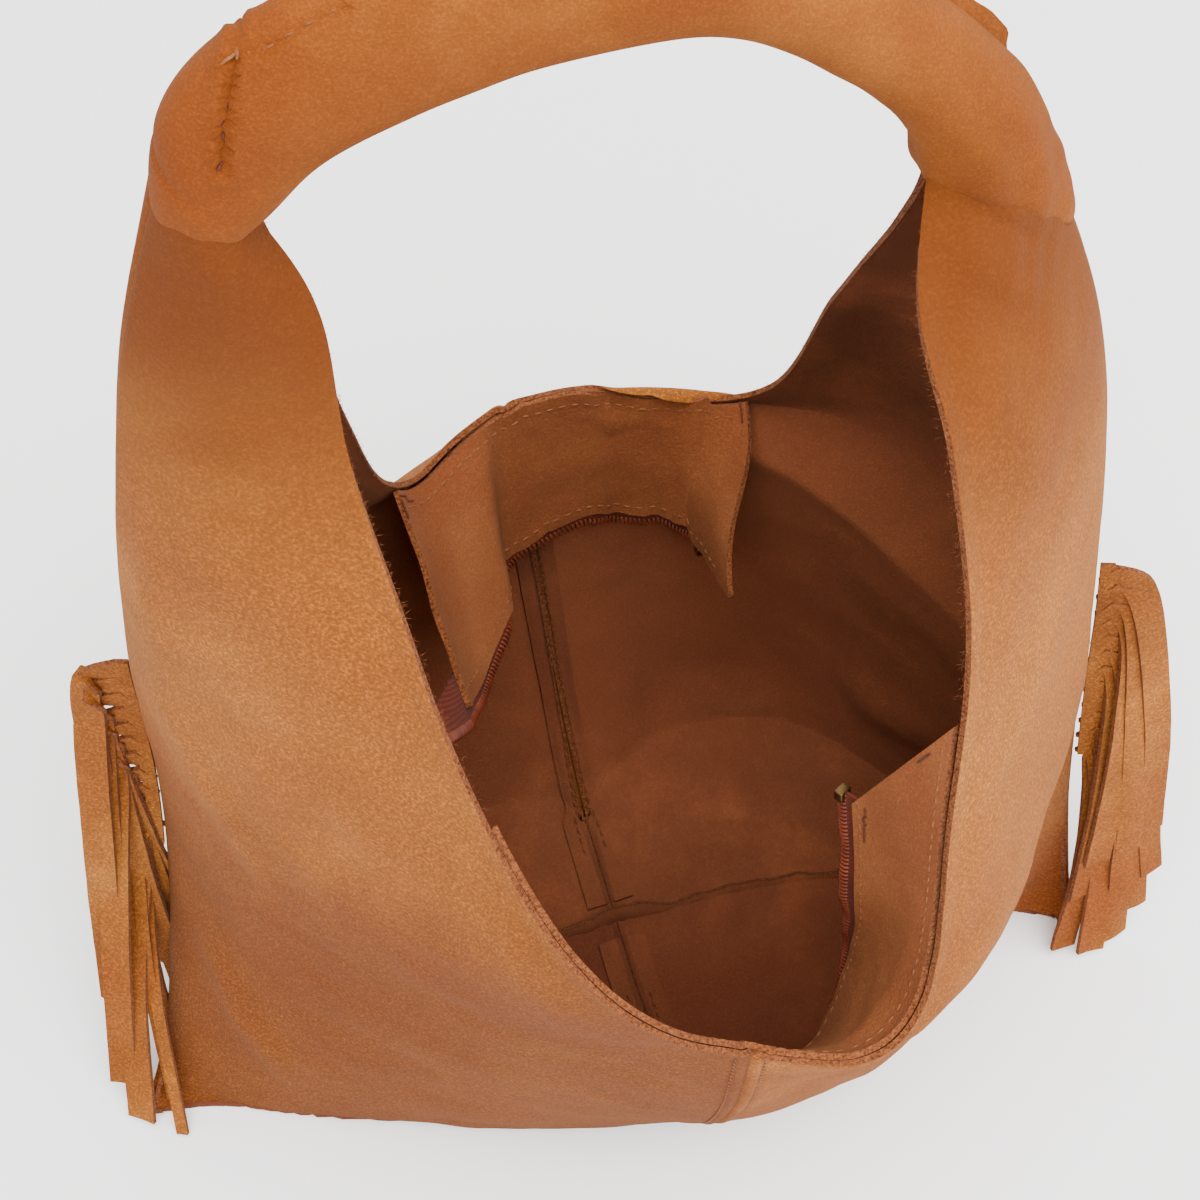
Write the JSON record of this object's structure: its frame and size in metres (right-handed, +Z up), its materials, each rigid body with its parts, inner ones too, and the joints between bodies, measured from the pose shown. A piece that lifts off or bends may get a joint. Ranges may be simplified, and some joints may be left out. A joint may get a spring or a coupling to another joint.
{
  "type": "fringed suede bag",
  "caption": "Soft suede bag with sewn panels, legs drawn together into a rolled handle, an open zipped mouth with hanging facings, and fringed side seams.",
  "frame": {"origin": "on the floor, under the middle of the bag's box", "axes": "+Z up towards the handle, -Y towards the front face, +X towards the right side seam"},
  "size_m": [0.3186, 0.207, 0.4512],
  "materials": {
    "outer_suede": "napped camel suede",
    "facing_suede": "napped brown suede",
    "zip_tape": "woven rust tape",
    "zip_coil": "rust nylon",
    "zip_metal": "aged brass"
  },
  "bodies": {
    "bag": {"front_left_panel": "outer_suede", "front_right_panel": "outer_suede", "back_left_panel": "outer_suede", "back_right_panel": "outer_suede", "handle_roll": "outer_suede", "left_fringe": "outer_suede", "right_fringe": "outer_suede", "front_zip_facing": "facing_suede", "back_zip_facing": "facing_suede", "front_zip_tape": "zip_tape", "back_zip_tape": "zip_tape", "front_zip_coil": "zip_coil", "back_zip_coil": "zip_coil", "front_zip_top_stop": "zip_metal", "back_zip_top_stop": "zip_metal", "zip_bottom_stop": "zip_metal", "zip_slider": "zip_metal"},
    "pull": {"zip_pull": "zip_metal"}
  },
  "joints": [
    {"name": "pull_swing", "type": "hinge", "parent": "bag", "child": "pull", "pos_m": [-0.06721, -0.00244, 0.20496], "axis": [-0.0128, 0.6865, -0.727], "range_deg": [0, 150]}
  ]
}
